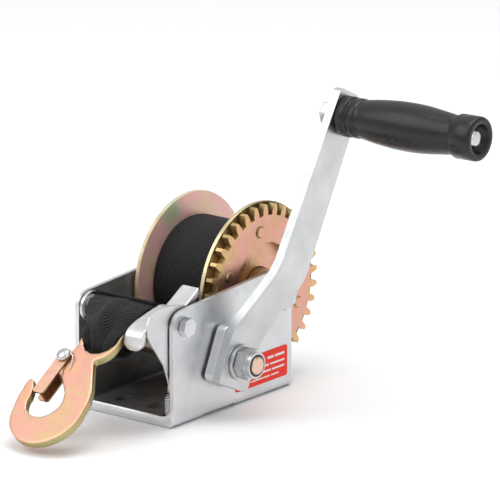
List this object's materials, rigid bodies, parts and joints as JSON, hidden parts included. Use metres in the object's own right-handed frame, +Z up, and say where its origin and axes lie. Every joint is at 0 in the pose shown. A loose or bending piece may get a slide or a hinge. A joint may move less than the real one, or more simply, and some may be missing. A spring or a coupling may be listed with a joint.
{
  "type": "boat trailer winch",
  "caption": "Hand winch with a geared strap drum in a U-shaped frame, a cranked handle with a turning grip, a ratchet pawl and a snap hook on its webbing strap.",
  "frame": {"origin": "on the underside of the base, midway between the side plates and 60 mm behind their front edges", "axes": "+Z up from the base, +X out of the side plate that carries the crank, +Y to the rear, where the drum is; the strap leaves at the front, towards -Y"},
  "size_m": [0.2394, 0.2603, 0.2031],
  "materials": {
    "clear_zinc": "satin clear zinc plate",
    "steel": "bright steel fasteners",
    "yellow_zinc": "yellow chromate zinc, iridescent",
    "pink_zinc": "yellow chromate zinc, pink to green sheen",
    "webbing": "black woven polyester",
    "grip_plastic": "moulded, lightly textured",
    "label": "printed film, satin"
  },
  "bodies": {
    "frame": {"frame": "clear_zinc", "base_plate": "clear_zinc", "label": "label", "tie_bolt": "steel", "tie_tube": "clear_zinc", "tie_bush": "steel", "drum_axle_bolt": "steel", "drum_axle_nut": "steel", "drum_spacer": "steel", "shaft_bush_near": "steel", "shaft_bush_far": "steel", "strap_span": "webbing", "strap_loop": "webbing", "pawl_spring": "steel"},
    "drum": {"drum_far_flange": "pink_zinc", "drum_near_disc": "yellow_zinc", "drum_gear": "yellow_zinc", "drum_core": "yellow_zinc", "gear_rivet_1": "yellow_zinc", "gear_rivet_2": "yellow_zinc", "gear_rivet_3": "yellow_zinc", "gear_rivet_4": "yellow_zinc", "gear_rivet_5": "yellow_zinc", "gear_rivet_6": "yellow_zinc", "strap_winding": "webbing"},
    "crank": {"drive_shaft": "steel", "pinion": "steel", "shaft_collar": "steel", "crank_arm": "clear_zinc", "crank_hub": "clear_zinc", "crank_washer": "steel", "crank_nut": "steel", "grip_bolt": "steel", "grip_nut": "steel", "grip_washer": "steel"},
    "grip": {"grip": "grip_plastic"},
    "pawl": {"pawl": "clear_zinc", "pawl_tail_plate": "clear_zinc"},
    "hook": {"hook": "pink_zinc", "latch_pin": "yellow_zinc"},
    "latch": {"hook_latch": "yellow_zinc"}
  },
  "joints": [
    {"name": "drum_spin", "type": "hinge", "parent": "frame", "child": "drum", "pos_m": [0, 0.0476, 0.0646], "axis": [1, 0, 0], "continuous": true},
    {"name": "crank_spin", "type": "hinge", "parent": "frame", "child": "crank", "pos_m": [0, -0.01238, 0.03548], "axis": [1, 0, 0], "continuous": true},
    {"name": "grip_spin", "type": "hinge", "parent": "crank", "child": "grip", "pos_m": [0.09, 0.05709, 0.18514], "axis": [1, 0, 0], "continuous": true},
    {"name": "pawl_tilt", "type": "hinge", "parent": "frame", "child": "pawl", "pos_m": [0.0318, -0.0492, 0.064], "axis": [-1, 0, 0], "range_deg": [-8, 12], "deforming": ["pawl_spring"]},
    {"name": "hook_swing", "type": "hinge", "parent": "frame", "child": "hook", "pos_m": [0.00382, -0.07418, 0.0656], "axis": [1, 0, 0], "range_deg": [-60, 50]},
    {"name": "latch_open", "type": "hinge", "parent": "hook", "child": "latch", "pos_m": [-0.01115, -0.10154, 0.04513], "axis": [0, -0.599, 0.8007], "range_deg": [0, 25], "stiffness_Nm_per_rad": 0.02, "springref_deg": -17.19}
  ],
  "couplings": [
    {"joint": "crank_spin", "follows": "drum_spin", "ratio": -4.25}
  ]
}
